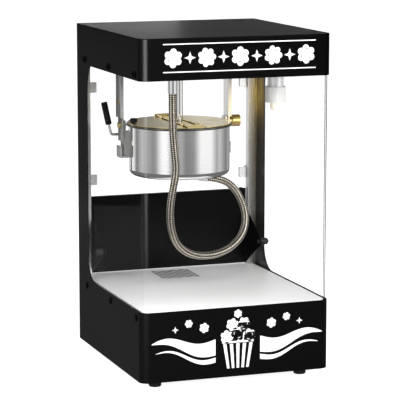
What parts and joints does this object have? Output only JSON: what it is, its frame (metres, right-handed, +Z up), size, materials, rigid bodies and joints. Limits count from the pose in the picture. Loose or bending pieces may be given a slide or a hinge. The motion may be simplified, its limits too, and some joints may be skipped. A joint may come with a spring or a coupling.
{
  "type": "countertop popcorn machine",
  "caption": "Countertop kettle popcorn machine: black sheet cabinet, clear panels, tilting stirred kettle, rear doors and crumb drawer.",
  "frame": {"origin": "under the feet, at the middle of the footprint", "axes": "+Z up, -Y the front, +Y the operator's side"},
  "size_m": [0.3748, 0.398, 0.645],
  "materials": {
    "black_powder": "satin powder coat",
    "stainless": "satin",
    "polished_steel": "polished",
    "chrome_trim": "polished",
    "clear_panel": "clear",
    "yellow_zinc": "plated",
    "black_plastic": "matte",
    "foot_rubber": "matte",
    "black_screw": "black oxide",
    "conduit_steel": "braided",
    "motor_grey": "satin",
    "collar_white": "translucent",
    "bulb_glass": "lit",
    "heater_steel": "dark",
    "switch_red": "gloss"
  },
  "bodies": {
    "root": {"side_panel_left": "black_powder", "side_panel_right": "black_powder", "roof_front_band": "black_powder", "roof_top_panel": "black_powder", "roof_rear_panel": "black_powder", "ceiling_plate": "black_powder", "base_front_band": "black_powder", "base_bottom_plate": "black_powder", "base_rear_panel": "black_powder", "deck_plate": "stainless", "rear_posts": "stainless", "hanger_left": "stainless", "hanger_right": "stainless", "drawer_runners": "stainless", "door_hinges": "stainless", "cord_connector": "chrome_trim", "lamp_socket": "chrome_trim", "pivot_nuts": "chrome_trim", "door_hinge_pins": "chrome_trim", "wrap_panel": "clear_panel", "zinc_screws": "yellow_zinc", "pivot_bolts": "yellow_zinc", "serving_door_knobs": "black_plastic", "switch_bezels": "black_plastic", "mains_gland": "black_plastic", "feet": "foot_rubber", "side_screws": "black_screw", "kettle_cord": "conduit_steel", "gear_motor": "motor_grey", "lamp_collar": "collar_white", "lamp_bulb": "bulb_glass"},
    "kettle": {"kettle_shell": "polished_steel", "kettle_pan": "polished_steel", "kettle_rim": "polished_steel", "kettle_bracket_left": "stainless", "kettle_bracket_right": "stainless", "lid_crossbar": "polished_steel", "lid_hinge_rods": "polished_steel", "heating_element": "heater_steel", "thermostat": "heater_steel", "cord_gland": "chrome_trim", "handle_rod": "stainless", "handle_grip": "black_plastic"},
    "lid_left": {"lid_left": "polished_steel", "lid_knob": "black_plastic"},
    "lid_right": {"lid_right": "polished_steel"},
    "stirrer": {"agitator": "stainless"},
    "drive": {"drive_shaft": "polished_steel"},
    "door_left": {"door_left": "clear_panel", "door_pull_left": "black_plastic", "door_clamp_left": "stainless"},
    "door_right": {"door_right": "clear_panel", "door_pull_right": "black_plastic", "door_clamp_right": "stainless"},
    "serving_door": {"serving_door": "black_powder"},
    "crumb_drawer": {"crumb_drawer": "black_powder", "drawer_pull": "black_plastic"},
    "rocker_light": {"rocker_light": "switch_red"},
    "rocker_heat": {"rocker_heat": "black_plastic"},
    "rocker_motor": {"rocker_motor": "black_plastic"}
  },
  "joints": [
    {"name": "kettle_tilt", "type": "hinge", "parent": "root", "child": "kettle", "pos_m": [-0.038, 0.0435, 0.461], "axis": [1, 0, 0], "range_deg": [0, 95], "deforming": ["kettle_cord"]},
    {"name": "lid_left_flap", "type": "hinge", "parent": "kettle", "child": "lid_left", "pos_m": [-0.052, 0.014, 0.4689], "axis": [0, 1, 0], "range_deg": [0, 80]},
    {"name": "lid_right_flap", "type": "hinge", "parent": "kettle", "child": "lid_right", "pos_m": [-0.024, 0.014, 0.4689], "axis": [0, -1, 0], "range_deg": [0, 80]},
    {"name": "drive_spin", "type": "hinge", "parent": "root", "child": "drive", "pos_m": [-0.038, 0.014, 0.506], "axis": [0, 0, 1], "continuous": true},
    {"name": "stirrer_spin", "type": "hinge", "parent": "kettle", "child": "stirrer", "pos_m": [-0.038, 0.014, 0.466], "axis": [0, 0, 1], "continuous": true},
    {"name": "door_left_swing", "type": "hinge", "parent": "root", "child": "door_left", "pos_m": [-0.1655, 0.1935, 0.436], "axis": [0, 0, 1], "range_deg": [0, 110]},
    {"name": "door_right_swing", "type": "hinge", "parent": "root", "child": "door_right", "pos_m": [0.1655, 0.1935, 0.436], "axis": [0, 0, -1], "range_deg": [0, 110]},
    {"name": "serving_door_tilt", "type": "hinge", "parent": "root", "child": "serving_door", "pos_m": [0, 0.106, 0.207], "axis": [1, 0, 0], "range_deg": [0, 40]},
    {"name": "crumb_drawer_slide", "type": "slide", "parent": "root", "child": "crumb_drawer", "axis": [0, 1, 0], "range_m": [0, 0.11]},
    {"name": "rocker_light_press", "type": "hinge", "parent": "root", "child": "rocker_light", "pos_m": [0.04, 0.1912, 0.6085], "axis": [1, 0, 0], "range_deg": [0, 20]},
    {"name": "rocker_heat_press", "type": "hinge", "parent": "root", "child": "rocker_heat", "pos_m": [0.08, 0.1912, 0.6085], "axis": [1, 0, 0], "range_deg": [0, 20]},
    {"name": "rocker_motor_press", "type": "hinge", "parent": "root", "child": "rocker_motor", "pos_m": [0.12, 0.1912, 0.6085], "axis": [1, 0, 0], "range_deg": [0, 20]}
  ],
  "couplings": [
    {"joint": "stirrer_spin", "follows": "drive_spin", "ratio": 1}
  ]
}
